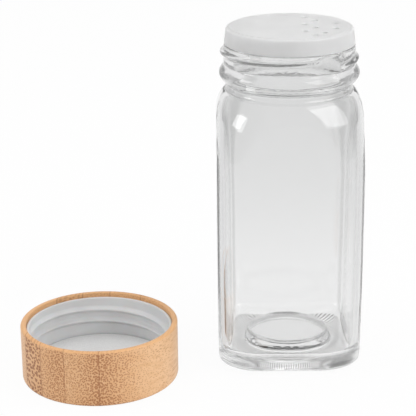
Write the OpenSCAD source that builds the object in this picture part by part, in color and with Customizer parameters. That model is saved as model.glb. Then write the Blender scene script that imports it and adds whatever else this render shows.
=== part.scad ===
// Square glass spice jar with a push-fit sprinkler cap, and its screw lid lying upside down beside it.
// Millimetres. The origin is the middle of the jar's base, +Z is up and the jar's front face is at -Y.

/* [Jar body] */
// Width of the square body across its flat faces, at the shoulder
body_w = 44.8; // [43:0.2:48]
// How much narrower the body is at its base
base_taper = 0.6; // [0:0.1:1.2]
// How far the side faces swell outwards at mid height, beyond the straight taper
face_swell = 0.15; // [0:0.05:0.4]
// Radius of the body's upright corners
corner_r = 9; // [6:0.5:11]
// Height of the stretch below the shoulder in which the corners grow rounder
corner_rise = 18; // [4:0.5:25]
// Radius of the rounded edge round the base
heel_r = 4; // [2:0.5:5]
// Radius of the corners of the flat that the jar stands on
foot_corner_r = 12.5; // [8:0.5:15]
// Height at which the faces start to draw in to the neck
body_h = 78.3; // [60:0.1:100]
// Height of the rounded shoulder
shoulder_h = 7.9; // [7:0.1:14]
// Thickness of the glass in the side walls
glass_wall = 2.3; // [1.8:0.1:3]
// Thickness of the glass in the base
glass_base = 3.8; // [3:0.2:8]
// How much lower the shoulder lies inside than outside
inner_drop = 1; // [0.5:0.1:2]
// Radius between the inner walls and the inner floor
floor_r = 4.5; // [3:0.5:6]
// Diameter of the recess under the base
recess_d = 28; // [20:0.5:32]
// Depth of the recess under the base
recess_depth = 2.2; // [0.6:0.1:2.4]
// Diameter of the raised middle of the inner floor
push_up_d = 27.8; // [20:0.2:28.6]
// Height of the raised middle over the rest of the inner floor
push_up_h = 3.6; // [1:0.1:5]
// How much narrower the raised middle is at its top, on the radius
push_up_slope = 1.4; // [0.5:0.1:3]

/* [Neck] */
// Diameter of the waist between the shoulder and the bead
waist_d = 38.2; // [37.8:0.1:38.8]
// Height of the waist
waist_h = 1.8; // [0.8:0.1:3]
// Diameter over the bead below the thread
bead_d = 42.8; // [41.5:0.1:43]
// Height of the bead below its widest line
bead_down = 3.3; // [2.4:0.1:4]
// Height of the bead above its widest line
bead_up = 2.6; // [2:0.1:2.6]
// Diameter of the neck that carries the thread
neck_d = 40; // [39.5:0.1:40.6]
// Height from the bead's widest line to the step under the lip
neck_h = 8.6; // [8.4:0.1:12]
// Bevel of the neck's edge at that step
neck_edge = 0.5; // [0.2:0.1:0.6]
// Diameter of the lip that the sprinkler cap fits over
lip_d = 36.9; // [36.8:0.1:37.2]
// Height of the lip above the step
lip_h = 3.9; // [3:0.1:5]
// Radius of the lip's outer edge
lip_edge_r = 0.7; // [0.3:0.1:0.8]
// Diameter of the mouth's bore
bore_d = 34; // [30:0.5:34]
// Bevel of the mouth's edge
mouth_edge = 0.5; // [0.2:0.1:0.5]

/* [Screw thread] */
// Diameter over the jar's thread
thread_d = 42.3; // [41.5:0.1:42.6]
// Pitch of the thread
thread_pitch = 3.8; // [3.4:0.1:4]
// Turns of thread on the jar
thread_turns = 0.95; // [0.6:0.05:1]
// Width of the jar's thread at its root
thread_w = 2.7; // [2:0.1:3]
// Depth below the lip's step of the thread's upper end
thread_drop = 0.9; // [0.8:0.1:2]
// Angle round the jar at which the thread starts, from its right side
thread_angle = -45; // [-180:5:180]
// Turns of thread in the lid
lid_thread_turns = 1.9; // [1:0.05:2.1]
// Width of the lid's thread at its root
lid_thread_w = 2.2; // [1.6:0.1:2.6]
// Angle round the lid at which its thread starts, from its right side
lid_thread_angle = -120; // [-180:5:180]
// Radial clearance between the lid's thread and the jar's
thread_gap = 0.42; // [0.3:0.02:0.6]

/* [Sprinkler cap] */
// Thickness of the cap's top plate
cap_top_t = 1.2; // [0.8:0.1:2]
// Height of the raised disc on the top plate
cap_disc_h = 0.28; // [0.1:0.02:0.6]
// Width of the ledge round the raised disc
cap_ledge = 0.15; // [0.1:0.05:0.6]
// Radius of the edge between the top plate and the skirt
cap_edge_r = 0.7; // [0.3:0.1:0.8]
// Thickness of the cap's skirt
cap_wall = 0.65; // [0.5:0.05:0.9]
// How much wider the skirt's lower edge is than its top, on the radius
cap_flare = 0.5; // [0:0.05:0.6]
// Gap between the skirt's lower edge and the step under the lip
skirt_lift = 0.25; // [0.15:0.05:1]
// Radial clearance of the skirt round the lip
skirt_gap = 0.25; // [0.2:0.01:0.4]
// Clearance between the top plate and the lip
seat_gap = 0.05; // [0.02:0.01:0.2]
// Depth of the plug ring that fits in the bore
plug_depth = 5.2; // [3:0.1:8]
// Thickness of the plug ring
plug_wall = 0.8; // [0.6:0.1:1.4]
// Bevel of the plug ring's lower edge
plug_lead = 0.4; // [0.2:0.1:0.5]
// Radial clearance of the plug ring in the bore
plug_gap = 0.1; // [0.05:0.01:0.2]

/* [Sprinkle holes] */
// Diameter of each sprinkle hole
hole_d = 1.8; // [1.2:0.1:2.4]
// Distance from the cap's middle to the first column of three holes
hole_start = 4.7; // [3:0.1:6]
// Distance between the first column and the second
hole_column = 3.1; // [2.8:0.1:4]
// Distance between neighbouring holes in a column
hole_step = 10; // [8:0.1:10]
// How far the middle hole of the first column lies behind the cap's middle
hole_shift = 2.2; // [1.5:0.1:3]
// Radius of the arc of three holes near the plug ring
hole_arc_r = 14.4; // [13:0.1:14.8]
// Angle between neighbouring holes on that arc
hole_arc_step = 29; // [20:1:35]
// Angle from the right of the arc's middle hole
hole_arc_angle = -14; // [-25:1:0]
// How far the whole pattern is turned on the cap
hole_turn = -4; // [-180:1:180]

/* [Bamboo lid] */
// Thickness of the bamboo wall
bamboo_wall = 1.7; // [1.5:0.1:3]
// Thickness of the bamboo over the liner
bamboo_top_t = 2.3; // [1.8:0.1:4]
// Radius of the rim's outer edge
rim_r = 0.7; // [0.3:0.1:0.8]
// Radius of the rim's inner edge
rim_in_r = 0.35; // [0.1:0.05:0.5]
// Radius of the edge round the lid's flat face
face_edge_r = 1; // [0.5:0.1:1.5]
// Thickness of the plastic liner's wall and floor
liner_t = 0.85; // [0.7:0.05:1.5]
// Radius of the edges of the liner's rim
liner_edge_r = 0.3; // [0.1:0.05:0.3]
// Glue gap between the liner and the bamboo, on the radius
glue_gap = 0.06; // [0.02:0.01:0.1]
// Thickness of the seal disc in the lid
seal_t = 0.5; // [0.3:0.1:1]
// Radial clearance of the seal disc in the liner
seal_gap = 0.3; // [0.1:0.05:0.6]
// Depth of the liner from the seal to its rim
liner_depth = 12.6; // [12:0.1:14]
// How far the liner's rim stands below the bamboo's
liner_recess = 1.33; // [0.5:0.01:2]
// Sideways distance from the jar's middle to the lid's middle, to the left
lid_left = 59; // [50:0.5:80]
// Distance from the jar's middle to the lid's middle, to the front
lid_front = 18.5; // [0:0.5:40]

/* [Hidden] */

$fn = 96;

// Segments in a quarter of a fillet, along a corner of the body and along half of a flat face
fillet_steps = 5;
corner_steps = 8;
flat_steps = 4;
// Levels in the wall below the rounder corners, beside them and in the shoulder
wall_levels = 3;
rise_levels = 4;
shoulder_levels = 8;
// How the corners grow round towards the neck: slowly at first, above 1
corner_ease = 1.5;
// Steps in half of the bead, in one turn of a thread, and the angle over which a thread fades out
bead_steps = 5;
thread_steps = 36;
thread_fade = 50;
// Share of a thread's width that its flat crest takes
crest_share = 0.28;
// How far one solid runs into the next where they are joined, and a neck into the body
lap = 0.4;
neck_sink = 2.7;
// How far the facets of a body's top ring stand outside the round wall that meets it
ring_margin = 0.15;
// Slope of the raised disc's edge, on the radius
disc_slope = 0.2;
// Facets of a sprinkle hole
hole_facets = 24;

// Heights in the jar, upwards from the table
corner_rise_z = body_h - corner_rise;
neck_root_z = body_h + shoulder_h;
bead_z = neck_root_z + waist_h + bead_down;
lip_step_z = bead_z + neck_h;
jar_h = lip_step_z + lip_h;
thread_end_z = lip_step_z - thread_drop;

// Radii in the jar
waist_r = waist_d / 2;
neck_r = neck_d / 2;
bead_r = bead_d / 2;
thread_r = thread_d / 2;
lip_r = lip_d / 2;
bore_r = bore_d / 2;
recess_r = recess_d / 2;

// The cap sits on the lip, and its skirt ends above the step
cap_under_z = jar_h + seat_gap;
cap_top_z = cap_under_z + cap_top_t;
skirt_low_z = lip_step_z + skirt_lift;
skirt_in_r = lip_r + skirt_gap;
skirt_out_r = skirt_in_r + cap_wall;
plug_out_r = bore_r - plug_gap;

// The lid lies upside down, so its heights run from the bamboo's outer face up to its rim
liner_bore_r = thread_r + thread_gap;
liner_crest_r = neck_r + thread_gap;
liner_out_r = liner_bore_r + liner_t;
bamboo_bore_r = liner_out_r + glue_gap;
bamboo_r = bamboo_bore_r + bamboo_wall;
liner_floor_z = bamboo_top_t + liner_t;
seal_top_z = liner_floor_z + seal_t;
liner_rim_z = seal_top_z + liner_depth;
bamboo_h = liner_rim_z + liner_recess;
// The middle of the lid's thread stands at the middle of the liner's free depth
lid_thread_z = (seal_top_z + liner_rim_z) / 2;

// Half of the body's width at height z, with the taper and the swell of its faces
function half_width(z) =
    let (u = min(z / body_h, 1))
    body_w / 2 - base_taper / 2 * (1 - u) + face_swell * 4 * u * (1 - u);

// Radius of the upright corners at height z: r in the wall, and all of the half width h at the neck
function corner_at(z, h, r, neck_z) =
    let (u = max(0, (z - corner_rise_z) / (neck_z - corner_rise_z)))
    r + (h - r) * pow(min(u, 1), corner_ease);

// Directions of a ring's points: even along the flat faces and round the corners of the body
quarter_points = let (h = body_w / 2, r = corner_r) concat(
    [for (i = [0 : flat_steps - 1]) [h, (h - r) * i / flat_steps]],
    [for (i = [0 : corner_steps]) let (a = 90 * i / corner_steps) [h - r + r * cos(a), h - r + r * sin(a)]],
    [for (i = [1 : flat_steps - 1]) [(h - r) * (1 - i / flat_steps), h]]
);
ring_angles = [for (k = [0 : 3]) for (p = quarter_points) atan2(p[1], p[0]) + 90 * k];

// Distance from the axis to a square of half width h with corner radius r, in direction a
function reach(a, h, r) =
    let (
        off_face = abs((a + 45) % 90 - 45),
        off_corner = off_face - 45,
        corner_middle = (h - r) * sqrt(2)
    )
    h * tan(off_face) <= h - r
        ? h / cos(off_face)
        : corner_middle * cos(off_corner) + sqrt(max(0, r * r - pow(corner_middle * sin(off_corner), 2)));

function ring(z, h, r) = [for (a = ring_angles) let (d = reach(a, h, r)) [d * cos(a), d * sin(a), z]];

// Rings that follow a rounded square wall up from a filleted foot and in to a round neck. The wall lies
// inset inside the body's outer faces, and its corners shrink from foot_corner at the foot to r above it.
function body_rings(foot_z, top_z, neck_z, inset, r, foot_r, foot_corner, round_r) = concat(
    [for (i = [0 : fillet_steps])
        let (a = 90 * i / fillet_steps, u = 1 - sin(a), z = foot_z + foot_r * (1 - cos(a)))
        ring(z, half_width(z) - inset - foot_r * u, r + (foot_corner - r) * u)],
    [for (i = [1 : wall_levels])
        let (z = foot_z + foot_r + (corner_rise_z - foot_z - foot_r) * i / wall_levels)
        ring(z, half_width(z) - inset, r)],
    [for (i = [1 : rise_levels])
        let (z = corner_rise_z + (top_z - corner_rise_z) * i / rise_levels, h = half_width(z) - inset)
        ring(z, h, corner_at(z, h, r, neck_z))],
    [for (i = [1 : shoulder_levels])
        let (
            a = 90 * i / shoulder_levels,
            z = top_z + (neck_z - top_z) * sin(a),
            h = round_r + (half_width(z) - inset - round_r) * cos(a)
        )
        ring(z, h, corner_at(z, h, r, neck_z))]
);

// Closed solid through a stack of rings with equal numbers of points. Each end is a fan round its middle.
module loft(rings) {
    n = len(rings[0]);
    m = len(rings);
    low_middle = n * m;
    high_middle = low_middle + 1;
    polyhedron(
        points = concat(
            [for (s = rings) for (p = s) p],
            [[0, 0, rings[0][0][2]], [0, 0, rings[m - 1][0][2]]]
        ),
        faces = concat(
            [for (i = [0 : n - 1]) [low_middle, i, (i + 1) % n]],
            [for (i = [0 : n - 1]) [high_middle, (m - 1) * n + (i + 1) % n, (m - 1) * n + i]],
            [for (j = [0 : m - 2]) for (i = [0 : n - 1])
                let (a = j * n + i, b = j * n + (i + 1) % n)
                for (t = [[a, a + n, b], [b, a + n, b + n]]) t]
        )
    );
}

// Ridge of a thread, wound from angle a0 up from height z0. Its root is sunk into the wall by lap, and
// at both ends its crest dives into the wall. Each section is [root, crest, crest, root].
module thread_ridge(root_r, crest_r, width, turns, a0, z0) {
    steps = ceil(thread_steps * turns);
    height = abs(crest_r - root_r);
    side = sign(crest_r - root_r);
    sunk_r = root_r - side * lap;
    crest_w = width * crest_share;
    flank_slope = (width - crest_w) / 2 / height;
    sections = [for (i = [0 : steps])
        let (
            turn = turns * 360 * i / steps,
            fade = min(1, turn / thread_fade, (turns * 360 - turn) / thread_fade),
            rise = (height + lap / 2) * sin(90 * fade) - lap / 2,
            r = root_r + side * rise,
            w = crest_w / 2 + flank_slope * (rise + lap),
            z = z0 + thread_pitch * turn / 360,
            a = a0 + turn
        )
        [for (p = [[sunk_r, -w], [r, -crest_w / 2], [r, crest_w / 2], [sunk_r, w]])
            [p[0] * cos(a), p[0] * sin(a), z + p[1]]]
    ];
    n = len(sections[0]);
    side_faces = [for (j = [0 : steps - 1]) for (i = [0 : n - 1])
        let (a = j * n + i, b = j * n + (i + 1) % n)
        for (t = [[a, b, a + n], [b, b + n, a + n]]) t];
    first_face = [for (i = [n - 1 : -1 : 0]) i];
    last_face = [for (i = [0 : n - 1]) steps * n + i];
    all_faces = concat([first_face], [last_face], side_faces);
    polyhedron(
        points = [for (s = sections) for (p = s) p],
        faces = side > 0 ? all_faces : [for (f = all_faces) [for (i = [len(f) - 1 : -1 : 0]) f[i]]]
    );
}

// Quarter arc as outline points, round centre c, from angle a to angle b
function arc(c, r, a, b) =
    [for (i = [0 : fillet_steps]) let (t = a + (b - a) * i / fillet_steps) c + r * [cos(t), sin(t)]];

// Outline of the neck with its waist, bead, thread wall and lip, solid to the axis. The bead falls off
// from its widest line as a parabola, down to the waist and up to the thread wall.
module neck_outline() {
    foot_z = neck_root_z - neck_sink;
    polygon(concat(
        [[0, foot_z], [waist_r, foot_z]],
        [for (i = [bead_steps : -1 : 1]) let (t = i / bead_steps)
            [waist_r + (bead_r - waist_r) * (1 - t * t), bead_z - bead_down * t]],
        [for (i = [0 : bead_steps]) let (t = i / bead_steps)
            [neck_r + (bead_r - neck_r) * (1 - t * t), bead_z + bead_up * t]],
        [[neck_r, lip_step_z - neck_edge], [neck_r - neck_edge, lip_step_z], [lip_r, lip_step_z]],
        arc([lip_r - lip_edge_r, jar_h - lip_edge_r], lip_edge_r, 0, 90),
        [[0, jar_h]]
    ));
}

// Hollow of the mouth, from foot_z inside the body up through the lip
module mouth_outline(foot_z) {
    polygon([
        [0, foot_z], [bore_r, foot_z], [bore_r, jar_h - mouth_edge], [bore_r + mouth_edge, jar_h],
        [bore_r + mouth_edge, jar_h + lap], [0, jar_h + lap]
    ]);
}

// Recess under the base, with a wall that slopes at 45 degrees
module recess_outline() {
    floor_edge = recess_r - recess_depth;
    polygon([[0, -lap], [recess_r, -lap], [recess_r, 0], [floor_edge, recess_depth], [0, recess_depth]]);
}

// Raised middle of the inner floor, as the mould pushes it up from below
module push_up_outline() {
    foot_r = push_up_d / 2;
    top_z = glass_base + push_up_h;
    polygon([[0, glass_base - lap], [foot_r, glass_base - lap], [foot_r, glass_base],
        [foot_r - push_up_slope, top_z], [0, top_z]]);
}

module glass_jar() color([0.86, 0.9, 0.9, 0.45]) {
    inner_neck_z = neck_root_z - inner_drop;
    // The inner floor is round, and its fillet runs out to the square walls
    inner_floor_r = half_width(glass_base) - glass_wall - floor_r;
    rotate_extrude() push_up_outline();
    difference() {
        union() {
            loft(body_rings(0, body_h, neck_root_z, 0, corner_r, heel_r, foot_corner_r,
                waist_r + ring_margin));
            rotate_extrude() neck_outline();
            thread_ridge(neck_r, thread_r, thread_w, thread_turns, thread_angle,
                thread_end_z - thread_pitch * thread_turns);
        }
        loft(body_rings(glass_base, body_h - inner_drop, inner_neck_z, glass_wall, corner_r - glass_wall,
            floor_r, inner_floor_r, bore_r + ring_margin));
        rotate_extrude() mouth_outline(inner_neck_z - neck_sink);
        rotate_extrude() recess_outline();
    }
}

module sprinkle_hole(x, y)
    translate([x, y, cap_under_z - lap])
        cylinder(d = hole_d, h = cap_top_t + cap_disc_h + 2 * lap, $fn = hole_facets);

// Sprinkle holes in one half of the cap: two staggered columns of three, and an arc of three outside them
module sprinkle_holes() rotate(hole_turn)
    for (i = [-1 : 1]) {
        arc_angle = hole_arc_angle + hole_arc_step * i;
        sprinkle_hole(hole_start, hole_shift + hole_step * i);
        sprinkle_hole(hole_start + hole_column, hole_shift + hole_step * (i - 0.5));
        sprinkle_hole(hole_arc_r * cos(arc_angle), hole_arc_r * sin(arc_angle));
    }

module shaker_cap() color([0.93, 0.94, 0.94, 0.9]) {
    disc_r = skirt_out_r - cap_edge_r - cap_ledge;
    plug_in_r = plug_out_r - plug_wall;
    plug_low_z = cap_under_z - plug_depth;
    difference() {
        rotate_extrude() polygon(concat(
            [[0, cap_under_z], [plug_in_r, cap_under_z], [plug_in_r, plug_low_z]],
            [[plug_out_r - plug_lead, plug_low_z], [plug_out_r, plug_low_z + plug_lead], [plug_out_r, cap_under_z]],
            [[skirt_in_r, cap_under_z], [skirt_in_r, skirt_low_z]],
            [[skirt_out_r + cap_flare, skirt_low_z], [skirt_out_r, cap_top_z - cap_edge_r]],
            arc([skirt_out_r - cap_edge_r, cap_top_z - cap_edge_r], cap_edge_r, 0, 90),
            [[disc_r, cap_top_z], [disc_r - disc_slope, cap_top_z + cap_disc_h], [0, cap_top_z + cap_disc_h]]
        ));
        sprinkle_holes();
    }
}

// Puts a lid piece at the lid's place on the table
module at_lid() translate([-lid_left, -lid_front, 0]) children();

module bamboo_shell() color([0.82, 0.6, 0.37]) at_lid()
    rotate_extrude() polygon(concat(
        [[0, 0]],
        arc([bamboo_r - face_edge_r, face_edge_r], face_edge_r, -90, 0),
        arc([bamboo_r - rim_r, bamboo_h - rim_r], rim_r, 0, 90),
        arc([bamboo_bore_r + rim_in_r, bamboo_h - rim_in_r], rim_in_r, 90, 180),
        [[bamboo_bore_r, bamboo_top_t], [0, bamboo_top_t]]
    ));

module threaded_liner() color([0.9, 0.91, 0.91]) at_lid() {
    turn_height = thread_pitch * lid_thread_turns;
    union() {
        rotate_extrude() polygon(concat(
            [[0, bamboo_top_t], [liner_out_r, bamboo_top_t]],
            arc([liner_out_r - liner_edge_r, liner_rim_z - liner_edge_r], liner_edge_r, 0, 90),
            arc([liner_bore_r + liner_edge_r, liner_rim_z - liner_edge_r], liner_edge_r, 90, 180),
            [[liner_bore_r, liner_floor_z], [0, liner_floor_z]]
        ));
        thread_ridge(liner_bore_r, liner_crest_r, lid_thread_w, lid_thread_turns, lid_thread_angle,
            lid_thread_z - turn_height / 2);
    }
}

module seal_disc() color([0.86, 0.87, 0.87]) at_lid()
    translate([0, 0, liner_floor_z]) cylinder(r = liner_bore_r - seal_gap, h = seal_t);

glass_jar();
shaker_cap();
bamboo_shell();
threaded_liner();
seal_disc();
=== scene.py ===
"""Studio scene of a square glass spice jar with a sprinkler cap, and its bamboo screw lid lying beside it.

The sizes of the pieces are in millimetres, and those of the finishes, the floor and the lights in metres.
"""

import logging
import math
from dataclasses import dataclass
from enum import Enum

import bpy
import numpy as np
from mathutils import Euler, Matrix, Vector


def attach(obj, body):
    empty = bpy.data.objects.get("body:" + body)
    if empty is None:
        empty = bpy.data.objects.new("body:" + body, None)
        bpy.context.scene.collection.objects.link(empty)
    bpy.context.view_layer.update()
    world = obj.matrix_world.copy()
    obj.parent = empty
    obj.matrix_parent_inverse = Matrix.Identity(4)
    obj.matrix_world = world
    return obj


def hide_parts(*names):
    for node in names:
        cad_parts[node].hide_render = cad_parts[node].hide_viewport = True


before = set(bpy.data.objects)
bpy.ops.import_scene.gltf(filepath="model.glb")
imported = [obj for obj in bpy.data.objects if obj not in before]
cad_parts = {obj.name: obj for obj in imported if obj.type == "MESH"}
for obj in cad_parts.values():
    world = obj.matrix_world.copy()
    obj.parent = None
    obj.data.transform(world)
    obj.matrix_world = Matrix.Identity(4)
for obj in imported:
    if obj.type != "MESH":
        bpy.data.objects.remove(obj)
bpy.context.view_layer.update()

MM = 0.001
log = logging.getLogger("spice_jar")

Pair = tuple[float, float]
Triple = tuple[float, float, float]
Colour = tuple[float, float, float, float]
Piece = bpy.types.Object
Socket = bpy.types.NodeSocket
Value = float | Socket

# Where most of a noise from 0 to 1 lies
NOISE_BAND: Pair = (0.3, 0.7)


class Body(Enum):
    """The moving bodies that the pieces ride on."""

    JAR = "jar"
    SHAKER = "shaker"
    LID = "lid"


class Slot(Enum):
    """The finishes named in the record."""

    GLASS = "glass"
    CAP = "cap_plastic"
    BAMBOO = "bamboo"
    LINER = "liner_plastic"
    SEAL = "seal_foam"


class Ease(Enum):
    """How a value goes from one end of a range to the other."""

    SMOOTH = "SMOOTHSTEP"
    EVEN = "LINEAR"


def show(name: str, data: bpy.types.ID) -> Piece:
    """Puts new data into the scene as an object.

    Args:
        name: Name of the object.
        data: Its mesh, light or camera.

    Returns:
        The object.
    """
    made = bpy.data.objects.new(name, data)
    bpy.context.scene.collection.objects.link(made)
    return made


class Lathe:
    """A closed skin of rings round an upright axis, each ring a radius for every angle.

    HUB is the radius of the smallest rings, which a fan closes.
    """

    HUB = 0.5
    ARC_STEPS = 8
    TOUCHING = 0.000001

    def __init__(self, sides: int | np.ndarray) -> None:
        """Starts an empty skin.

        Args:
            sides: How many points a ring has, evenly spaced, or the points' angles in radians.
        """
        self.angles = sides if isinstance(sides, np.ndarray) else np.arange(sides) * 2 * math.pi / sides
        self.radii: list[np.ndarray] = []
        self.heights: list[np.ndarray] = []

    def ring(self, radius: float | np.ndarray, height: float | np.ndarray) -> None:
        """Adds one ring.

        Args:
            radius: Radius of the ring, one value or one for each angle.
            height: Height of the ring, given in the same way.
        """
        flat = np.ones_like(self.angles)
        self.radii.append(flat * radius)
        self.heights.append(flat * height)

    def rings(self, points: list[Pair] | np.ndarray) -> None:
        """Adds a round ring for each radius and height."""
        for radius, height in points:
            self.ring(radius, height)

    def end(self) -> Pair:
        """Radius and height at the first angle of the last ring."""
        return self.radii[-1][0], self.heights[-1][0]

    def run(self, *stretches: Triple) -> None:
        """Adds the round rings of straight stretches, the first of which starts at the last ring.

        Args:
            stretches: Radius and height at the end of each stretch, and the step between its rings.
        """
        for radius, height, step in stretches:
            count = max(1, round(math.dist(self.end(), (radius, height)) / step))
            self.rings(np.linspace(self.end(), (radius, height), count + 1)[1:])

    def bend(self, radius: float, height: float, edge: float, start: int) -> None:
        """Adds the rings of a quarter circle in place of a sharp edge, but no ring twice.

        Args:
            radius: Radius of the sharp edge.
            height: Height of the sharp edge.
            edge: Radius of the quarter circle.
            start: Angle of its first point from straight outwards, in degrees: -90, 0 or 90.
        """
        turn = np.radians(np.linspace(start, start + 90, self.ARC_STEPS + 1))
        centre_r = radius + edge if start == 90 else radius - edge
        centre_z = height + edge if start == -90 else height - edge
        points = np.column_stack([centre_r + edge * np.cos(turn), centre_z + edge * np.sin(turn)])
        joins = math.dist(self.end(), points[0]) < self.TOUCHING
        self.rings(points[1:] if joins else points)

    def soften(self, passes: int) -> None:
        """Rounds the edges that run round the skin, by averaging each ring with its neighbours.

        Args:
            passes: How many times each ring is averaged.
        """
        radii = np.array(self.radii)
        heights = np.array(self.heights)
        for grid in (radii, heights):
            for _ in range(passes):
                grid[1:-1] = 0.25 * grid[:-2] + 0.5 * grid[1:-1] + 0.25 * grid[2:]
        self.radii = list(radii)
        self.heights = list(heights)

    def build(self, name: str, at: Pair = (0.0, 0.0)) -> Piece:
        """Makes the mesh object, closed at both ends by a fan round the axis.

        Args:
            name: Name of the piece.
            at: Place of the axis on the table, in millimetres.

        Returns:
            The new object, in metres.
        """
        radii = np.array(self.radii)
        heights = np.array(self.heights)
        levels, sides = radii.shape
        x = at[0] + radii * np.cos(self.angles)
        y = at[1] + radii * np.sin(self.angles)
        points = np.stack([x, y, heights], axis=-1).reshape(-1, 3)
        ends = [[*at, heights[0].mean()], [*at, heights[-1].mean()]]
        points = np.concatenate([points, ends]) * MM
        here = np.arange(sides)
        after = (here + 1) % sides
        faces: list[tuple[int, ...]] = []
        for level in range(levels - 1):
            low = level * sides
            high = low + sides
            faces += list(zip(low + here, low + after, high + after, high + here))
        first, last = levels * sides, levels * sides + 1
        top = (levels - 1) * sides
        faces += [(first, b, a) for a, b in zip(here, after)]
        faces += [(last, top + a, top + b) for a, b in zip(here, after)]
        mesh = bpy.data.meshes.new(name)
        mesh.from_pydata(points.tolist(), [], [tuple(int(i) for i in face) for face in faces])
        mesh.validate()
        mesh.shade_smooth()
        return show(name, mesh)


@dataclass(frozen=True)
class Thread:
    """A right-hand screw thread on a round wall, as a change of the wall's radius."""

    height: float
    width: float
    pitch: float
    turns: float
    start_angle: float
    start_z: float
    fade: float = 50.0
    fullness: float = 1.35

    def rise(self, angles: np.ndarray, z: float | np.ndarray) -> np.ndarray:
        """How far the thread stands off the wall.

        Args:
            angles: Angles round the axis, in radians.
            z: Height on the wall, one value or one for each angle.

        Returns:
            The height of the ridge at each angle.
        """
        sweep = 360 * self.turns
        best = np.zeros_like(angles)
        first = (np.degrees(angles) - self.start_angle) % 360
        for lap in range(math.ceil(self.turns)):
            turn = first + 360 * lap
            inside = turn <= sweep
            ends = np.clip(np.minimum(turn, sweep - turn) / self.fade, 0, 1)
            full = np.sin(ends * math.pi / 2)
            away = np.abs(z - self.start_z - self.pitch * turn / 360) / (self.width / 2)
            crest = 0.5 + 0.5 * np.cos(math.pi * np.clip(away, 0, 1) ** self.fullness)
            ridge = np.where(away < 1, crest, 0)
            best = np.maximum(best, np.where(inside, self.height * full * ridge, 0))
        return best


class Nodes:
    """A node tree that grows by short calls."""

    def __init__(self, tree: bpy.types.NodeTree) -> None:
        """Takes the tree that gets the nodes."""
        self.tree = tree

    def node(self, kind: str, inputs: dict[str | int, object] | None = None,
             **settings: object) -> bpy.types.Node:
        """Adds a node.

        Args:
            kind: The node's type, without the leading ShaderNode.
            inputs: Values or sockets for its inputs, by name or number.
            settings: The node's own settings.

        Returns:
            The new node.
        """
        made = self.tree.nodes.new("ShaderNode" + kind)
        for name, value in settings.items():
            setattr(made, name, value)
        for name, value in (inputs or {}).items():
            if isinstance(value, Socket):
                self.tree.links.new(value, made.inputs[name])
            else:
                made.inputs[name].default_value = value
        return made

    def math(self, operation: str, *values: Value, clamp: bool = False) -> Socket:
        """One step of arithmetic on sockets and numbers."""
        return self.node("Math", dict(enumerate(values)), operation=operation, use_clamp=clamp).outputs[0]

    def minus(self, value: Value, less: Value) -> Socket:
        """A value less another."""
        return self.math("SUBTRACT", value, less)

    def times(self, value: Socket, *others: Value) -> Socket:
        """The product of all the values."""
        for other in others:
            value = self.math("MULTIPLY", value, other)
        return value

    def scaled(self, value: Socket, factor: Value, shift: Value, clamp: bool = False) -> Socket:
        """A value times a factor, plus a shift."""
        return self.math("MULTIPLY_ADD", value, factor, shift, clamp=clamp)

    def swayed(self, value: Socket, noise: Socket, reach: float) -> Socket:
        """A value moved up and down by a noise from 0 to 1, over the reach in all."""
        return self.scaled(self.minus(noise, 0.5), reach, value)

    def span(self, value: Socket, low: float, high: float, to_low: float = 0.0, to_high: float = 1.0,
             ease: Ease = Ease.SMOOTH) -> Socket:
        """Maps a range of values to another, and holds it at the ends."""
        limits = {0: value, 1: low, 2: high, 3: to_low, 4: to_high}
        return self.node("MapRange", limits, interpolation_type=ease.value).outputs[0]

    def blend(self, share: Value, first: Colour | Socket, second: Colour | Socket, how: str = "MIX") -> Socket:
        """Mixes two colours, each a socket or a colour."""
        return self.node("Mix", {0: share, 6: first, 7: second}, data_type="RGBA", blend_type=how).outputs[2]

    def split(self, vector: Socket) -> list[Socket]:
        """The three parts of a vector."""
        return list(self.node("SeparateXYZ", {0: vector}).outputs)

    def noise(self, vector: Socket, scale: float, detail: float = 2.0, roughness: float = 0.5) -> Socket:
        """A noise from 0 to 1."""
        return self.node("TexNoise", {"Vector": vector, "Scale": scale, "Detail": detail,
                                      "Roughness": roughness}).outputs["Fac"]


class Finish(Nodes):
    """A material with one Principled shader; each kind is a dataclass whose dress method adds its nodes."""

    name: str

    def __post_init__(self) -> None:
        """Starts the material."""
        self.material = bpy.data.materials.new(self.name)
        self.material.use_nodes = True
        super().__init__(self.material.node_tree)
        self.shader = self.tree.nodes["Principled BSDF"]

    def set(self, **values: object) -> None:
        """Sets the shader's own sockets, named with underscores for spaces."""
        for name, value in values.items():
            self.shader.inputs[name.replace("_", " ")].default_value = value

    def feed(self, name: str, socket: Socket) -> None:
        """Joins a socket to one of the shader's inputs."""
        self.tree.links.new(socket, self.shader.inputs[name])

    def place(self) -> Socket:
        """The place in the object, in metres."""
        return self.node("TexCoord").outputs["Object"]

    def height(self) -> Socket:
        """The height in the object, in metres."""
        return self.split(self.place())[2]

    def stretched(self, scale: Triple, turn: float = 0.0, shift: Triple = (0.0, 0.0, 0.0)) -> Socket:
        """The place in the object, moved, turned about the upright axis and scaled.

        Args:
            scale: Scale along each axis.
            turn: Turn about the upright axis, in degrees.
            shift: Move before the turn, in metres.

        Returns:
            The socket with the new coordinates.
        """
        moved = self.node("Mapping", {0: self.place(), 1: shift})
        turned = self.node("Mapping", {0: moved.outputs[0], 2: (0, 0, math.radians(turn))})
        return self.node("Mapping", {0: turned.outputs[0], 3: scale}).outputs[0]

    def bump(self, height: Socket, depth: float, after: Socket | None = None) -> Socket:
        """Turns a height from 0 to 1 into a bent normal.

        Args:
            height: The height.
            depth: Depth of the relief, in metres.
            after: A normal to bend further.

        Returns:
            The socket with the normal.
        """
        inputs: dict[str | int, object] = {"Height": height, "Distance": depth, "Strength": 1.0}
        if after is not None:
            inputs["Normal"] = after
        return self.node("Bump", inputs).outputs[0]


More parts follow.
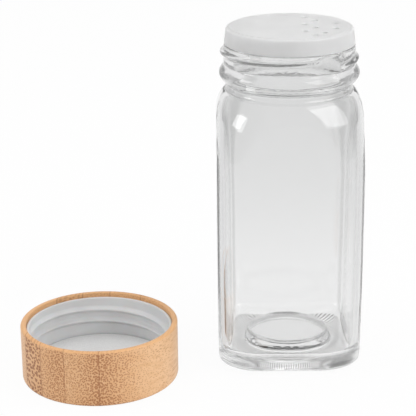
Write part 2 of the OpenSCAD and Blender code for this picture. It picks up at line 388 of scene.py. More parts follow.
@dataclass
class ClearGlass(Finish):
    """Clear soda glass, slightly wavy from the mould, with fine knurls round its foot."""

    base: float
    top: float
    name: str = "clear_glass"
    index: float = 1.5
    # The glass's own grey, lighter at the foot and darker towards the shoulder; the change with height is
    # painted shade
    lit_low_tint: Colour = (0.935, 0.936, 0.936, 1.0)
    shaded_high_tint: Colour = (0.84, 0.842, 0.842, 1.0)
    depth_tint: Colour = (0.56, 0.575, 0.575, 1.0)
    depth_density: float = 4.0
    # Painted shade where the upright walls turn away from the eye: how deep, and the facings where it rises
    # and falls
    edge_shade: float = 0.31
    shade_starts: Pair = (0.24, 0.42)
    shade_ends: Pair = (0.5, 0.8)
    wall_starts: Pair = (0.003, 0.009)
    wall_ends: Pair = (0.079, 0.084)
    wave_depth: float = 0.00006
    pore_depth: float = 0.000004
    neck_starts: Pair = (0.0865, 0.0905)
    ripple_depth: float = 0.000018
    haze: float = 0.03
    knurls: int = 110
    knurl_depth: float = 0.0002
    knurls_end: Pair = (0.0006, 0.0016)

    def dress(self) -> None:
        """Adds the glass's tint with its painted shade, and its depth, waves, knurls and haze."""
        self.set(IOR=self.index, Transmission_Weight=1.0)
        height = self.height()
        # Painted shade: the tint darkens from the base up to the top of the body
        shaded_tint = self.blend(self.span(height, self.base, self.top), self.lit_low_tint, self.shaded_high_tint)
        # Painted shade also darkens the walls in a band where they turn away from the eye
        self.feed("Base Color", self.blend(1.0, shaded_tint, self.wall_shade(), "MULTIPLY"))
        depth = self.node("VolumeAbsorption", {"Color": self.depth_tint, "Density": self.depth_density})
        self.tree.links.new(depth.outputs[0], self.tree.nodes["Material Output"].inputs["Volume"])
        normal = self.bump(self.noise(self.stretched((1, 1, 0.35)), 90, 1.0), self.wave_depth)
        normal = self.bump(self.noise(self.place(), 420), self.pore_depth, normal)
        ripples = self.noise(self.stretched((1, 1, 2.2)), 700)
        ripples = self.times(ripples, self.span(height, *self.neck_starts))
        normal = self.bump(ripples, self.ripple_depth, normal)
        self.feed("Normal", self.bump(self.knurling(), self.knurl_depth, normal))
        self.feed("Roughness", self.span(self.noise(self.place(), 260, 3.0), 0.45, 0.85, 0.0, self.haze))

    def wall_shade(self) -> Socket:
        """Painted shade: what the upright walls let through, less in a band where they turn away from the eye.

        Returns:
            The socket with the grey.
        """
        height = self.height()
        facing = self.node("LayerWeight", {"Blend": 0.5}).outputs["Facing"]
        rising = self.span(facing, *self.shade_starts, 0.0, self.edge_shade)
        falling = self.span(facing, *self.shade_ends, 1.0, 0.1)
        above = self.span(height, *self.wall_starts)
        wall = self.times(above, self.span(height, *self.wall_ends, 1.0, 0.15))
        left = self.minus(1.0, self.times(rising, falling, wall))
        return self.node("CombineColor", {0: left, 1: left, 2: left}).outputs[0]

    def knurling(self) -> Socket:
        """The short bars round the foot, as a relief.

        Returns:
            The socket with the relief.
        """
        x, y, height = self.split(self.place())
        bars = self.math("SINE", self.times(self.math("ARCTAN2", y, x), float(self.knurls)))
        return self.times(bars, self.span(height, *self.knurls_end, 1.0, 0.0))


@dataclass
class MouldedPlastic(Finish):
    """White moulded plastic of the lid's liner, with a fine grain in its soft gloss."""

    name: str = "moulded_plastic"
    colour: Colour = (0.67, 0.672, 0.675, 1.0)
    shade: Colour = (0.62, 0.622, 0.625, 1.0)
    index: float = 1.5
    clearness: float = 0.0
    milk: float = 0.15
    milk_depth: float = 0.001
    milk_reach: Triple = (1.0, 0.2, 0.1)
    cloud_scale: float = 90.0
    grain_scale: float = 2600.0
    grain_depth: float = 0.000008
    gloss: Pair = (0.3, 0.42)

    def dress(self) -> None:
        """Adds the plastic's milkiness, clouds and grain."""
        self.set(IOR=self.index, Transmission_Weight=self.clearness, Subsurface_Weight=self.milk,
                 Subsurface_Radius=self.milk_reach, Subsurface_Scale=self.milk_depth)
        cloud = self.span(self.noise(self.place(), self.cloud_scale, 3.0), *NOISE_BAND)
        self.feed("Base Color", self.blend(cloud, self.shade, self.colour))
        grain = self.noise(self.place(), self.grain_scale)
        self.feed("Roughness", self.span(grain, *NOISE_BAND, *self.gloss))
        self.feed("Normal", self.bump(grain, self.grain_depth))


@dataclass
class FrostedPlastic(MouldedPlastic):
    """Milky, softly translucent plastic of the sprinkler cap."""

    name: str = "frosted_plastic"
    colour: Colour = (0.93, 0.93, 0.93, 1.0)
    shade: Colour = (0.89, 0.89, 0.89, 1.0)
    index: float = 1.49
    clearness: float = 0.45
    milk: float = 0.5
    milk_depth: float = 0.003
    milk_reach: Triple = (1.0, 1.0, 1.0)
    cloud_scale: float = 130.0
    grain_scale: float = 3200.0
    grain_depth: float = 0.00001
    gloss: Pair = (0.34, 0.44)


@dataclass
class Foam(Finish):
    """Pale closed-cell foam of the seal."""

    name: str = "seal_foam"
    colour: Colour = (0.755, 0.755, 0.75, 1.0)
    shade: Colour = (0.70, 0.70, 0.695, 1.0)
    cell_scale: float = 2200.0
    cell_depth: float = 0.00002

    def dress(self) -> None:
        """Adds the foam's cells."""
        self.set(IOR=1.45, Roughness=0.65)
        cells = self.node("TexVoronoi", {"Vector": self.place(), "Scale": self.cell_scale})
        cells = cells.outputs["Distance"]
        self.feed("Base Color", self.blend(self.span(cells, 0.1, 0.7), self.shade, self.colour))
        self.feed("Normal", self.bump(cells, self.cell_depth))


@dataclass
class Bamboo(Finish):
    """Laminated bamboo: strips glued side by side, with fibre bundles that run through the whole lid.

    The bundles show as brown dots where the wall cuts across them, and as long streaks where it runs with
    them. Each strip is densest towards the side that was the culm's outside.
    """

    rim: float
    inside: float
    to_axis: Triple
    name: str = "bamboo"
    turn: float = 14.0
    joints: tuple[float, ...] = (-0.0184, -0.0118, -0.0035, 0.0071)
    joint_width: float = 0.0003
    joint_share: float = 0.55
    strip_fade: float = 0.0002
    strip_wander: float = 0.0007
    # Places across the strips, each with how crowded the bundles are there
    crowded: tuple[Pair, ...] = (
        (-0.024, 0.0), (-0.0186, 0.05), (-0.0183, 0.85), (-0.0119, 0.75), (-0.0116, 0.45), (-0.0036, 0.75),
        (-0.0033, 0.35), (0.002, 0.55), (0.0071, 0.95), (0.0125, 0.5), (0.018, 0.15), (0.024, 0.0))
    fine_pitch: float = 0.00062
    coarse_pitch: float = 0.000992
    bundle_wander: float = 0.0014
    bundle_edge: float = 3.6
    # A bundle's radius as a share of the pitch: the least, what crowding adds and what the patches change
    bundle_reach: Triple = (0.11, 0.38, 0.25)
    bundle_share: float = 0.8
    bundle_share_on_rim: float = 0.18
    pale: Colour = (0.725, 0.445, 0.242, 1.0)
    warm: Colour = (0.62, 0.34, 0.158, 1.0)
    dark: Colour = (0.33, 0.125, 0.045, 1.0)
    scorched: Colour = (0.27, 0.105, 0.045, 1.0)
    glue: Colour = (0.31, 0.13, 0.055, 1.0)
    smooth: Colour = (0.79, 0.52, 0.30, 1.0)
    sawn: Colour = (0.73, 0.405, 0.185, 1.0)
    smooth_starts: Pair = (0.012, 0.023)
    streaks_start: Pair = (0.006, 0.014)
    relief: float = 0.00004

    def along_fibres(self, stretch: float) -> Socket:
        """The place from the lid's axis, turned so that Y runs along the fibres, and squeezed along them."""
        return self.stretched((1, stretch, 1), self.turn, self.to_axis)

    def end_grain(self) -> Socket:
        """The place across the fibres as X and Y, with the fibres' slow wander.

        Returns:
            The socket with the place.
        """
        across, _, up = self.split(self.along_fibres(1.0))
        drift = self.node("TexNoise", {"Vector": self.along_fibres(0.25), "Scale": 170.0, "Detail": 1.0})
        sway = self.split(drift.outputs["Color"])
        spots = [self.swayed(way, noise, self.bundle_wander) for way, noise in zip((across, up), sway)]
        return self.node("CombineXYZ", {0: spots[0], 1: spots[1]}).outputs[0]

    def dots(self, pitch: float, reach: Socket) -> Socket:
        """Cut fibre bundles as soft dots from 0 to 1.

        Args:
            pitch: Distance between neighbouring bundles, in metres.
            reach: Radius of a dot as a share of the pitch.

        Returns:
            The socket with the dots.
        """
        cells = self.node("TexVoronoi", {"Vector": self.end_grain(), "Scale": 1 / pitch, "Randomness": 0.9},
                          voronoi_dimensions="2D").outputs["Distance"]
        return self.scaled(self.minus(reach, cells), self.bundle_edge, 0.5, clamp=True)

    def crowding(self, across: Socket) -> Socket:
        """How crowded the bundles are, from 0 to 1.

        Args:
            across: The place across the strips.

        Returns:
            The socket with the crowding.
        """
        low, high = self.crowded[0][0], self.crowded[-1][0]
        ramp = self.node("ValToRGB", {0: self.span(across, low, high, ease=Ease.EVEN)})
        stops = ramp.color_ramp.elements
        while len(stops) < len(self.crowded):
            stops.new(1.0)
        for stop, (spot, value) in zip(stops, self.crowded):
            stop.position = (spot - low) / (high - low)
            stop.color = (value, value, value, 1)
        return ramp.outputs[0]

    def wood(self, across: Socket, crowd: Socket, fuzz: Socket) -> Socket:
        """Colour of the wood between the bundles.

        Args:
            across: The place across the strips.
            crowd: How crowded the bundles are.
            fuzz: Noise of the fine fibres.

        Returns:
            The socket with the colour.
        """
        cloud = self.noise(self.along_fibres(0.15), 170, 3.0)
        tone = self.blend(self.span(fuzz, *NOISE_BAND, 0.0, 0.7), self.pale, self.warm)
        tone = self.blend(self.times(crowd, self.span(cloud, *NOISE_BAND, 0.2, 0.6)), tone, self.warm)
        tone = self.blend(self.span(across, *self.smooth_starts, 0.0, 0.6), tone, self.smooth)
        streaks = self.span(self.noise(self.stretched((0.22, 0.22, 1)), 1100), 0.42, 0.66)
        streaks = self.times(streaks, self.span(across, *self.streaks_start, 0.0, 0.42))
        return self.blend(streaks, tone, self.warm)

    def sawn_edge(self) -> Socket:
        """Share of the rim and of the turned wall inside it, where few bundles show.

        Returns:
            The socket with the share.
        """
        flat = self.stretched((1, 1, 0), 0.0, self.to_axis)
        radius = self.node("VectorMath", {0: flat}, operation="LENGTH").outputs["Value"]
        turned = self.span(radius, self.inside + 0.0001, self.inside + 0.0003, 0.8, 0.0)
        return self.math("MAXIMUM", self.span(self.height(), self.rim - 0.0006, self.rim - 0.0002), turned)

    def dress(self) -> None:
        """Adds the strips, their bundles and the joints between them."""
        self.set(IOR=1.45)
        drift = self.noise(self.along_fibres(0.2), 120)
        across = self.swayed(self.split(self.along_fibres(1.0))[0], drift, self.strip_wander)
        crowd = self.crowding(across)
        start, end = self.joints[:2]
        strip = self.times(self.span(across, start - self.strip_fade, start),
                           self.span(across, end, end + self.strip_fade, 1.0, 0.0))
        least, growth, patches = self.bundle_reach
        reach = self.scaled(crowd, growth, least)
        reach = self.swayed(reach, self.noise(self.along_fibres(0.1), 260), patches)
        fine = self.dots(self.fine_pitch, reach)
        coarse = self.dots(self.coarse_pitch, self.minus(reach, 0.04))
        bundle = self.scaled(self.minus(coarse, fine), strip, fine)
        fuzz = self.noise(self.along_fibres(0.04), 1500, 4.0, 0.6)
        edge = self.sawn_edge()
        tone = self.blend(self.times(edge, 0.8), self.wood(across, crowd, fuzz), self.sawn)
        fewer = self.bundle_share_on_rim - self.bundle_share
        shown = self.times(bundle, self.scaled(edge, fewer, self.bundle_share))
        shown = self.scaled(self.times(strip, bundle), 0.12, shown)
        tone = self.blend(shown, tone, self.blend(strip, self.dark, self.scorched))
        for joint in self.joints:
            away = self.math("ABSOLUTE", self.minus(across, joint))
            tone = self.blend(self.span(away, 0.0, self.joint_width, self.joint_share, 0.0), tone, self.glue)
        self.feed("Base Color", tone)
        self.feed("Roughness", self.scaled(bundle, 0.15, 0.42))
        self.feed("Normal", self.bump(self.scaled(bundle, -0.6, fuzz), self.relief))


def place(piece: Piece, finish: Finish, body: Body, slot: Slot, *nodes: str) -> Piece:
    """Dresses a finished piece and puts it on its body in place of CAD nodes.

    Args:
        piece: The object to place.
        finish: Its finish.
        body: The body that carries it.
        slot: Not used; the finish that the record names for it.
        nodes: The CAD nodes that it stands for.

    Returns:
        The same object.
    """
    finish.dress()
    piece.data.materials.clear()
    piece.data.materials.append(finish.material)
    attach(piece, body.value)
    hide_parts(*nodes)
    log.info("%s: %d faces on %s", piece.name, len(piece.data.polygons), body.value)
    return piece


@dataclass(frozen=True)
class SquareWall:
    """A rounded square wall: three heights, its distance inside the outer wall, and four radii."""

    foot: float
    top: float
    neck: float
    inset: float
    corner: float
    foot_radius: float
    foot_corner: float
    radius: float


@dataclass
class GlassJar:
    """The square glass jar: body, shoulder, neck, bead, thread and lip, with its hollow."""

    width: float = 44.8
    taper: float = 0.6
    swell: float = 0.15
    corner: float = 9.0
    corner_rise: float = 18.0
    corner_ease: float = 1.5
    heel: float = 4.0
    foot_corner: float = 12.5
    body_height: float = 78.3
    shoulder: float = 7.9
    shoulder_turn: float = 74.0
    wall: float = 2.3
    base: float = 3.8
    inner_drop: float = 1.0
    floor_corner: float = 4.5
    recess_radius: float = 14.0
    recess_depth: float = 2.2
    push_up: float = 3.6
    push_up_radius: float = 13.9
    push_up_slope: float = 1.4
    push_up_ease: float = 0.3
    push_up_edge: float = 0.2
    neck_fillet: float = 0.9
    waist: float = 19.1
    waist_height: float = 1.8
    bead: float = 21.4
    bead_down: float = 3.3
    bead_up: float = 2.6
    neck: float = 20.0
    neck_height: float = 8.6
    neck_edge: float = 0.5
    lip: float = 18.45
    lip_height: float = 3.9
    lip_edge: float = 0.7
    bore: float = 17.0
    bore_gap: float = 0.1
    mouth_edge: float = 0.5
    thread_radius: float = 21.15
    thread_pitch: float = 3.8
    thread_turns: float = 0.95
    thread_width: float = 2.7
    thread_drop: float = 0.9
    thread_start: float = -45.0
    sides_per_corner: int = 30
    sides_per_face: int = 26
    fine_step: float = 0.25
    foot_rings: int = 9
    wall_rings: int = 14
    shoulder_rings: int = 26
    root_rings: int = 8
    bead_rings: tuple[int, int] = (14, 12)

    def __post_init__(self) -> None:
        """Works out the heights that follow from the sizes, and starts the skin."""
        self.rise_foot = self.body_height - self.corner_rise
        self.neck_root = self.body_height + self.shoulder
        self.bead_middle = self.neck_root + self.waist_height + self.bead_down
        self.lip_step = self.bead_middle + self.neck_height
        self.top = self.lip_step + self.lip_height
        self.skin = Lathe(self.directions())

    def half_width(self, z: float) -> float:
        """Half of the body's width at a height, with the taper and the swell of its faces."""
        share = min(z / self.body_height, 1)
        return self.width / 2 - self.taper / 2 * (1 - share) + self.swell * 4 * share * (1 - share)

    def corner_at(self, z: float, half: float, wall: SquareWall) -> float:
        """Radius of a wall's upright corners at a height, all of the half width at the neck."""
        share = min(max(0.0, (z - self.rise_foot) / (wall.neck - self.rise_foot)), 1.0)
        return wall.corner + (half - wall.corner) * share**self.corner_ease

    def directions(self) -> np.ndarray:
        """Works out the angles of a ring's points: even along the flat faces, and round the corners.

        Returns:
            The angles in radians.
        """
        half, corner = self.width / 2, self.corner
        flat = np.linspace(0, half - corner, self.sides_per_face // 2, endpoint=False)
        turn = np.linspace(0, math.pi / 2, self.sides_per_corner + 1)
        first = np.arctan2(flat, half)
        middle = np.arctan2(half - corner + corner * np.sin(turn), half - corner + corner * np.cos(turn))
        quarter = np.concatenate([first, middle, math.pi / 2 - first[:0:-1]])
        return np.concatenate([quarter + quadrant * math.pi / 2 for quadrant in range(4)])

    def square(self, half: float, corner: float) -> np.ndarray:
        """Distance from the axis to a rounded square.

        Args:
            half: Half of the square's width.
            corner: Radius of its corners.

        Returns:
            The distance at each of the skin's angles.
        """
        folded = np.abs((self.skin.angles + math.pi / 4) % (math.pi / 2) - math.pi / 4)
        face = half / np.cos(folded)
        inset = (half - corner) * math.sqrt(2)
        turn = folded - math.pi / 4
        side = inset * np.sin(turn)
        around = inset * np.cos(turn) + np.sqrt(np.maximum(corner**2 - side**2, 0))
        return np.where(half * np.tan(folded) <= half - corner, face, around)

    def square_rings(self, wall: SquareWall, upwards: bool = True) -> None:
        """Adds the rings of a rounded square wall, from its filleted foot to its round neck.

        Args:
            wall: The wall's sizes.
            upwards: Whether the rings run up, or down.
        """
        rings: list[Triple] = []
        for angle in np.linspace(0, math.pi / 2, self.wall_rings):
            share = 1 - math.sin(angle)
            z = wall.foot + wall.foot_radius * (1 - math.cos(angle))
            half = self.half_width(z) - wall.inset - wall.foot_radius * share
            rings.append((z, half, wall.corner + (wall.foot_corner - wall.corner) * share))
        for z in np.linspace(wall.foot + wall.foot_radius, self.rise_foot, self.wall_rings)[1:]:
            rings.append((z, self.half_width(z) - wall.inset, wall.corner))
        for z in np.linspace(self.rise_foot, wall.top, self.wall_rings)[1:]:
            half = self.half_width(z) - wall.inset
            rings.append((z, half, self.corner_at(z, half, wall)))
        for angle in np.linspace(0, math.radians(self.shoulder_turn), self.shoulder_rings)[1:]:
            z = wall.top + (wall.neck - wall.top) * math.sin(angle)
            half = wall.radius + (self.half_width(z) - wall.inset - wall.radius) * math.cos(angle)
            rings.append((z, half, self.corner_at(z, half, wall)))
        last_z, last_half, last_corner = rings[-1]
        for angle in np.linspace(0, math.pi / 2, self.root_rings)[1:]:
            z = last_z + (wall.neck + self.neck_fillet - last_z) * (1 - math.cos(angle))
            half = last_half + (wall.radius - last_half) * math.sin(angle)
            rings.append((z, half, min(half, last_corner)))
        for z, half, corner in rings if upwards else rings[::-1]:
            self.skin.ring(self.square(half, corner), z)

    def underside(self) -> None:
        """Adds the recess under the base and the flat that the jar stands on."""
        skin = self.skin
        skin.ring(skin.HUB, self.recess_depth)
        skin.run((self.recess_radius - self.recess_depth, self.recess_depth, 0.8),
                 (self.recess_radius, 0.0, self.fine_step))
        foot = self.square(self.half_width(0) - self.heel, self.foot_corner)
        for share in np.linspace(0, 1, self.foot_rings)[1:-1]:
            skin.ring(foot * share + (1 - share) * self.recess_radius, 0.0)

    def outer_neck(self) -> None:
        """Adds the outside of the neck: waist, bead, thread wall and lip, and the mouth's edge."""
        skin = self.skin
        down, up = self.bead_rings
        skin.run((self.waist, self.bead_middle - self.bead_down, self.fine_step))
        for share in np.linspace(1, 0, down)[1:]:
            radius = self.waist + (self.bead - self.waist) * (1 - share**2)
            skin.ring(radius, self.bead_middle - self.bead_down * share)
        for share in np.linspace(0, 1, up)[1:]:
            radius = self.neck + (self.bead - self.neck) * (1 - share**2)
            skin.ring(radius, self.bead_middle + self.bead_up * share)
        foot = self.lip_step - self.thread_drop - self.thread_pitch * self.thread_turns
        thread = Thread(self.thread_radius - self.neck, self.thread_width, self.thread_pitch,
                        self.thread_turns, self.thread_start, foot)
        low = self.bead_middle + self.bead_up + self.fine_step
        for z in np.arange(low, self.lip_step - self.neck_edge, self.fine_step):
            skin.ring(self.neck + thread.rise(skin.angles, z), z)
        skin.bend(self.neck, self.lip_step, self.neck_edge, 0)
        skin.run((self.lip, self.lip_step, 0.2), (self.lip, self.top - self.lip_edge, self.fine_step))
        skin.bend(self.lip, self.top, self.lip_edge, 0)
        skin.bend(self.bore, self.top, self.mouth_edge, 90)

    def hollow(self) -> None:
        """Adds the inside: bore, inner wall, and the floor with its pushed-up middle."""
        skin = self.skin
        inner_neck = self.neck_root - self.inner_drop
        floor_radius = self.half_width(self.base) - self.wall - self.floor_corner
        skin.run((self.bore, inner_neck + self.neck_fillet + self.bore_gap, 1.0))
        wall = SquareWall(self.base, self.body_height - self.inner_drop, inner_neck, self.wall,
                          self.corner - self.wall, self.floor_corner, floor_radius, self.bore)
        self.square_rings(wall, upwards=False)
        raised = self.base + self.push_up
        top_radius = self.push_up_radius - self.push_up_slope
        skin.run((self.push_up_radius + self.push_up_ease, self.base, 0.3))
        skin.ring(self.push_up_radius, self.base + self.push_up_edge)
        skin.run((top_radius + self.push_up_edge, raised - self.push_up_ease, self.fine_step))
        skin.ring(top_radius - self.push_up_edge, raised)
        skin.run((skin.HUB, raised, 1.0))

    def build(self) -> Piece:
        """Builds the jar as one skin, outside and inside, and dresses it.

        Returns:
            The jar.
        """
        self.underside()
        self.square_rings(SquareWall(0.0, self.body_height, self.neck_root, 0.0, self.corner, self.heel,
                                     self.foot_corner, self.waist))
        self.outer_neck()
        self.hollow()
        self.skin.soften(3)
        glass = ClearGlass(self.base * MM, self.body_height * MM)
        return place(self.skin.build("jar_glass"), glass, Body.JAR, Slot.GLASS, "glass_jar")


@dataclass
class ShakerCap:
    """The frosted cap that presses on over the lip, with a plug ring and sprinkle holes."""

    under: float = 103.85
    plate: float = 1.2
    disc: float = 0.28
    disc_slope: float = 0.2
    disc_border: float = 1.0
    ledge: float = 0.15
    edge: float = 0.7
    lip_in: float = 18.7
    wall: float = 0.65
    flare: float = 0.5
    skirt_low: float = 100.15
    plug_radius: float = 16.9
    plug_wall: float = 0.8
    plug_depth: float = 5.2
    plug_lead: float = 0.4
    hole: float = 1.8
    hole_start: float = 4.7
    hole_column: float = 3.1
    hole_step: float = 10.0
    hole_shift: float = 2.2
    hole_arc_radius: float = 14.4
    hole_arc_step: float = 29.0
    hole_arc_angle: float = -14.0
    hole_turn: float = -4.0
    hole_flare: float = 0.2
    hole_ease: float = 0.06
    hole_ease_depth: float = 0.07
    drill_hub: float = 0.2
    drill_reach: float = 1.0
    drill_skim: float = 0.01
    drill_sides: int = 32
    sides: int = 192
    crease: float = 35.0

    def profile(self) -> Lathe:
        """Turns the cap's outline, from under its top plate out over the skirt to the middle of the top.

        Returns:
            The skin.
        """
        out = self.lip_in + self.wall
        top = self.under + self.plate
        deep = self.under - self.plug_depth
        plug = self.plug_radius
        plug_in = plug - self.plug_wall
        disc = out - self.edge - self.ledge
        disc_top = top + self.disc
        skin = Lathe(self.sides)
        skin.ring(skin.HUB, self.under)
        skin.run((plug_in, self.under, 1.5), (plug_in, deep, 0.4), (plug - self.plug_lead, deep, 0.2),
                 (plug, deep + self.plug_lead, 0.2), (plug, self.under, 0.4),
                 (self.lip_in, self.under, 0.25), (self.lip_in, self.skirt_low, 0.25),
                 (out + self.flare, self.skirt_low, 0.2), (out, top - self.edge, 0.25))
        skin.bend(out, top, self.edge, 0)
        skin.run((disc, top, 0.08), (disc - self.disc_slope, disc_top, 0.1),
                 (disc - self.disc_slope - self.disc_border, disc_top, 0.2), (skin.HUB, disc_top, 1.5))
        skin.soften(1)
        return skin

    def hole_places(self) -> list[Pair]:
        """Works out where the sprinkle holes are: two staggered columns of three and an arc, in one half.

        Returns:
            The places of the holes.
        """
        places: list[Pair] = []
        for step in (-1, 0, 1):
            angle = math.radians(self.hole_arc_angle + self.hole_arc_step * step)
            places += [(self.hole_start, self.hole_shift + self.hole_step * step),
                       (self.hole_start + self.hole_column, self.hole_shift + self.hole_step * (step - 0.5)),
                       (self.hole_arc_radius * math.cos(angle), self.hole_arc_radius * math.sin(angle))]
        cos, sin = math.cos(math.radians(self.hole_turn)), math.sin(math.radians(self.hole_turn))
        return [(x * cos - y * sin, x * sin + y * cos) for x, y in places]

    def drill(self, at: Pair) -> Piece:
        """Builds the cutter of one hole, flared where it meets the faces of the plate.

        Args:
            at: The middle of the hole.

        Returns:
            The cutter.
        """
        low, top = self.under, self.under + self.plate + self.disc
        radius, flare, reach, skim = self.hole / 2, self.hole_flare, self.drill_reach, self.drill_skim
        wide = radius + flare
        skin = Lathe(self.drill_sides)
        skin.rings([(self.drill_hub, low - reach), (wide, low - reach), (wide, low - skim),
                    (radius, low + flare), (radius, top - flare),
                    (radius + self.hole_ease, top - self.hole_ease_depth),
                    (wide, top + skim), (wide, top + reach), (self.drill_hub, top + reach)])
        return skin.build("drill", at)

    def cut_holes(self, cap: Piece) -> None:
        """Cuts the sprinkle holes out of the cap.

        Args:
            cap: The cap without its holes.
        """
        drills = [self.drill(at) for at in self.hole_places()]
        bpy.ops.object.select_all(action="DESELECT")
        for drill in drills:
            drill.select_set(True)
        bpy.context.view_layer.objects.active = drills[0]
        bpy.ops.object.join()
        cut = cap.modifiers.new("holes", "BOOLEAN")
        cut.operation = "DIFFERENCE"
        cut.solver = "EXACT"
        cut.object = drills[0]
        bpy.context.view_layer.objects.active = cap
        bpy.ops.object.modifier_apply(modifier=cut.name)
        bpy.data.objects.remove(drills[0])

    def build(self) -> Piece:
        """Builds the cap with its holes, and dresses it.

        Returns:
            The cap.
        """
        cap = self.profile().build("sprinkler_cap")
        self.cut_holes(cap)
        cap.data.shade_smooth()
        cap.data.set_sharp_from_angle(angle=math.radians(self.crease))
        return place(cap, FrostedPlastic(), Body.SHAKER, Slot.CAP, "shaker_cap")


@dataclass
class ScrewLid:
    """The bamboo lid, upside down on the table: bamboo shell, threaded liner and seal."""

    at: Pair = (-59.0, -18.5)
    bore: float = 21.57
    crest: float = 20.42
    liner_wall: float = 0.85
    liner_edge: float = 0.34
    liner_rim: float = 16.25
    glue_gap: float = 0.06
    bamboo_wall: float = 1.69
    bamboo_top: float = 2.3
    bamboo_height: float = 17.58
    foot_edge: float = 1.0
    rim_out: float = 0.7
    rim_in: float = 0.35
    seal: float = 0.5
    seal_gap: float = 0.3
    seal_edge: float = 0.15
    seal_bevel: float = 0.05
    thread_width: float = 2.2
    thread_turns: float = 1.9
    thread_pitch: float = 3.8
    thread_start: float = -120.0
    thread_middle: float = 9.95
    thread_step: float = 0.2
    flat_step: float = 1.5
    sides: int = 224

    def __post_init__(self) -> None:
        """Works out the radii and heights that follow from the sizes."""
        self.liner_out = self.bore + self.liner_wall
        self.shell_in = self.liner_out + self.glue_gap
        self.shell_out = self.shell_in + self.bamboo_wall
        self.floor = self.bamboo_top + self.liner_wall

    def shell(self) -> Piece:
        """Builds the bamboo shell and dresses it.

        Returns:
            The shell.
        """
        skin = Lathe(self.sides)
        skin.ring(skin.HUB, 0.0)
        skin.run((self.shell_out - self.foot_edge, 0.0, self.flat_step))
        skin.bend(self.shell_out, 0.0, self.foot_edge, -90)
        skin.run((self.shell_out, self.bamboo_height - self.rim_out, 0.5))
        skin.bend(self.shell_out, self.bamboo_height, self.rim_out, 0)
        skin.bend(self.shell_in, self.bamboo_height, self.rim_in, 90)
        skin.run((self.shell_in, self.bamboo_top, 0.5), (skin.HUB, self.bamboo_top, self.flat_step))
        to_axis = (-self.at[0] * MM, -self.at[1] * MM, 0.0)
        bamboo = Bamboo(self.bamboo_height * MM, self.shell_in * MM, to_axis)
        return place(skin.build("bamboo_lid", self.at), bamboo, Body.LID, Slot.BAMBOO, "bamboo_shell")

    def liner(self) -> Piece:
        """Builds the plastic liner with the thread inside it, and dresses it.

        Returns:
            The liner.
        """
        edge = self.liner_edge
        thread = Thread(self.bore - self.crest, self.thread_width, self.thread_pitch, self.thread_turns,
                        self.thread_start, self.thread_middle - self.thread_pitch * self.thread_turns / 2)
        skin = Lathe(self.sides)
        skin.ring(skin.HUB, self.bamboo_top)
        skin.run((self.liner_out, self.bamboo_top, self.flat_step),
                 (self.liner_out, self.liner_rim - edge, 1.0))
        skin.bend(self.liner_out, self.liner_rim, edge, 0)
        skin.bend(self.bore, self.liner_rim, edge, 90)
        for z in np.arange(self.liner_rim - edge - self.thread_step, self.floor, -self.thread_step):
            skin.ring(self.bore - thread.rise(skin.angles, z), z)
        skin.ring(self.bore, self.floor)
        skin.run((skin.HUB, self.floor, self.flat_step))
        skin.soften(1)
        piece = skin.build("lid_liner", self.at)
        return place(piece, MouldedPlastic(), Body.LID, Slot.LINER, "threaded_liner")

    def seal_disc(self) -> Piece:
        """Builds the foam seal on the liner's floor, and dresses it.

        Returns:
            The seal.
        """
        radius = self.bore - self.seal_gap
        top = self.floor + self.seal
        skin = Lathe(self.sides)
        skin.ring(skin.HUB, self.floor)
        skin.run((radius - self.seal_bevel, self.floor, self.flat_step))
        skin.ring(radius, self.floor + self.seal_bevel)
        skin.run((radius, top - self.seal_edge, 0.1))
        skin.bend(radius, top, self.seal_edge, 0)
        skin.run((skin.HUB, top, 1.0))
        return place(skin.build("seal_pad", self.at), Foam(), Body.LID, Slot.SEAL, "seal_disc")

    def build(self) -> list[Piece]:
        """Builds the three pieces of the lid."""
        return [self.shell(), self.liner(), self.seal_disc()]


@dataclass(frozen=True)
class SoftBox:
    """One rectangular soft light: its place, size and power, in metres and watts."""

    name: str
    at: Triple
    size: Pair
    power: float
    aim: Triple = (-0.02, 0.0, 0.05)

    def hang(self) -> None:
        """Hangs the light, facing the pieces."""
        data = bpy.data.lights.new(self.name, "AREA")
        data.shape = "RECTANGLE"
        data.size, data.size_y = self.size
        data.energy = self.power
        lamp = show(self.name, data)
        lamp.location = self.at
        lamp.rotation_euler = (Vector(self.at) - Vector(self.aim)).to_track_quat("Z", "Y").to_euler()


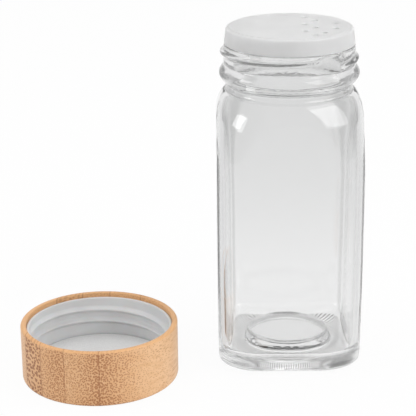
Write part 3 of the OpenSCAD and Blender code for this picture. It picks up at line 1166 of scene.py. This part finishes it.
@dataclass
class Studio:
    """Pale floor, soft lights, white surroundings and the camera, whose place is in millimetres."""

    camera_at: Triple = (-25.09, -440.71, 200.16)
    pitch: float = 19.11
    roll: float = -0.562
    lens: float = 128.75
    sensor: float = 36.0
    clip: Pair = (0.01, 50.0)
    floor_size: float = 6.0
    floor_gap: float = 0.00005
    floor_white: float = 0.95
    floor_colour: Colour = (0.82, 0.82, 0.82, 1.0)
    white: Colour = (1.0, 1.0, 1.0, 1.0)
    # How far sideways the grey beside the glass starts and is full
    beside: Pair = (0.35, 0.95)
    glass_behind: float = 0.9
    glass_beside: float = 0.5
    room_front: float = 0.95
    room_back: float = 0.4
    lights: tuple[SoftBox, ...] = (
        SoftBox("right_light", (0.62, -0.30, 0.52), (0.75, 0.6), 3.8),
        SoftBox("left_light", (-0.80, -0.15, 0.36), (0.3, 0.3), 1.5),
        SoftBox("top_light", (-0.1, 0.25, 0.9), (0.7, 0.5), 1.5),
    )

    def camera(self) -> None:
        """Sets the camera at the photograph's place and angle."""
        data = bpy.data.cameras.new("camera")
        data.lens = self.lens
        data.sensor_width = self.sensor
        data.clip_start, data.clip_end = self.clip
        camera = show("camera", data)
        turn = Euler((math.radians(90 - self.pitch), 0, 0)).to_matrix().to_4x4()
        turn = turn @ Matrix.Rotation(math.radians(self.roll), 4, "Z")
        camera.matrix_world = Matrix.Translation([value * MM for value in self.camera_at]) @ turn
        bpy.context.scene.camera = camera

    @staticmethod
    def seen(nodes: Nodes, eye: float, glass: Value, others: Value) -> Socket:
        """Chooses a value by the kind of ray: the eye's, one off a gloss or through glass, or any other.

        Args:
            nodes: The node tree that takes the nodes.
            eye: The value for camera rays.
            glass: The value for rays off a gloss or through glass.
            others: The value for the rays that light the pieces.

        Returns:
            The socket with the value.
        """
        path = nodes.node("LightPath").outputs
        direct = path["Is Camera Ray"]
        bent = nodes.math("MAXIMUM", path["Is Glossy Ray"], path["Is Transmission Ray"])
        shown = nodes.math("MAXIMUM", bent, direct)
        lit = nodes.times(nodes.minus(1.0, shown), others)
        with_glass = nodes.scaled(nodes.minus(shown, direct), glass, lit)
        return nodes.scaled(direct, eye, with_glass)

    def floor(self) -> None:
        """Lays the floor under the pieces: white to the eye and the glass, and pale grey to the lights."""
        half = self.floor_size / 2
        low = -self.floor_gap
        corners = [(-half, -half, low), (half, -half, low), (half, half, low), (-half, half, low)]
        mesh = bpy.data.meshes.new("studio_floor")
        mesh.from_pydata(corners, [], [(0, 1, 2, 3)])
        material = bpy.data.materials.new("studio_floor")
        material.use_nodes = True
        nodes = Nodes(material.node_tree)
        nodes.tree.nodes.clear()
        diffuse = nodes.node("BsdfDiffuse", {"Color": self.floor_colour})
        glow = nodes.node("Emission", {"Color": self.white, "Strength": 1.0})
        share = self.seen(nodes, self.floor_white, self.floor_white, 0.0)
        mix = nodes.node("MixShader", {0: share, 1: diffuse.outputs[0], 2: glow.outputs[0]})
        nodes.node("OutputMaterial", {0: mix.outputs[0]})
        mesh.materials.append(material)
        floor = show("studio_floor", mesh)

    def world(self) -> None:
        """Sets the surroundings: white to the eye, greyer beside the glass, and lightest from the front."""
        world = bpy.data.worlds.new("studio")
        bpy.context.scene.world = world
        world.use_nodes = True
        nodes = Nodes(world.node_tree)
        nodes.tree.nodes.clear()
        sideways, away, _ = nodes.split(nodes.node("TexCoord").outputs["Generated"])
        sideways = nodes.math("ABSOLUTE", sideways)
        glass = nodes.span(sideways, *self.beside, self.glass_behind, self.glass_beside, Ease.EVEN)
        room = nodes.span(away, -1.0, 1.0, self.room_front, self.room_back, Ease.EVEN)
        sky = nodes.node("Background", {"Color": self.white, "Strength": self.seen(nodes, 1.0, glass, room)})
        nodes.node("OutputWorld", {0: sky.outputs[0]})

    @staticmethod
    def light_paths() -> None:
        """Lets light cross the glass many times, because a path that stops inside it would show black."""
        cycles = bpy.context.scene.cycles
        cycles.max_bounces = 24
        cycles.transmission_bounces = 24
        cycles.glossy_bounces = 16

    def build(self) -> None:
        """Sets up the whole studio."""
        bpy.context.scene.view_settings.view_transform = "Standard"
        self.camera()
        self.floor()
        self.world()
        self.light_paths()
        for light in self.lights:
            light.hang()


def main() -> None:
    """Builds the studio and every piece."""
    logging.basicConfig(level=logging.INFO, format="%(message)s")
    Studio().build()
    GlassJar().build()
    ShakerCap().build()
    ScrewLid().build()


if __name__ == "__main__":
    main()
